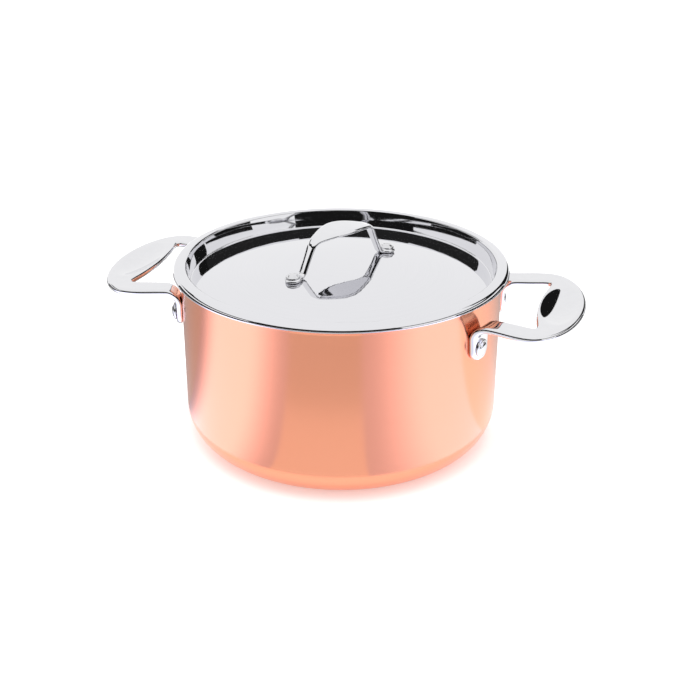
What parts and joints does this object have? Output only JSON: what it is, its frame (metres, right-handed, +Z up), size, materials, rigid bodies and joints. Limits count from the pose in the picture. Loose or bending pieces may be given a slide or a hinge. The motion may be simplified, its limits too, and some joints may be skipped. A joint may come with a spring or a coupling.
{
  "type": "cooking pot with lid",
  "caption": "Copper-clad cooking pot with riveted steel loop handles and a recessed, domed steel lid that lifts off by its bridge handle.",
  "frame": {"origin": "centre of the pot's base, on the surface that it stands on", "axes": "+Z up, out of the pot's mouth; the two side handles lie along +X and -X; the lid's bridge handle is turned 58 degrees from +X"},
  "size_m": [0.312, 0.2144, 0.1425],
  "materials": {
    "copper": "satin polished copper",
    "aluminium": "bare cut edge",
    "liner_steel": "circular brushed stainless steel",
    "handle_steel": "mirror polished stainless steel",
    "lid_steel": "mirror polished stainless steel",
    "rivet_steel": "polished stainless steel"
  },
  "bodies": {
    "pot": {"copper_shell": "copper", "aluminium_core": "aluminium", "steel_liner": "liner_steel", "left_handle": "handle_steel", "right_handle": "handle_steel", "left_handle_front_rivet": "rivet_steel", "left_handle_rear_rivet": "rivet_steel", "right_handle_front_rivet": "rivet_steel", "right_handle_rear_rivet": "rivet_steel"},
    "lid": {"lid": "lid_steel", "lid_handle": "handle_steel", "lid_handle_front_rivet": "rivet_steel", "lid_handle_rear_rivet": "rivet_steel"}
  },
  "joints": [
    {"name": "lid_lift", "type": "slide", "parent": "pot", "child": "lid", "axis": [0, 0, 1], "range_m": [0, 0.15]}
  ]
}
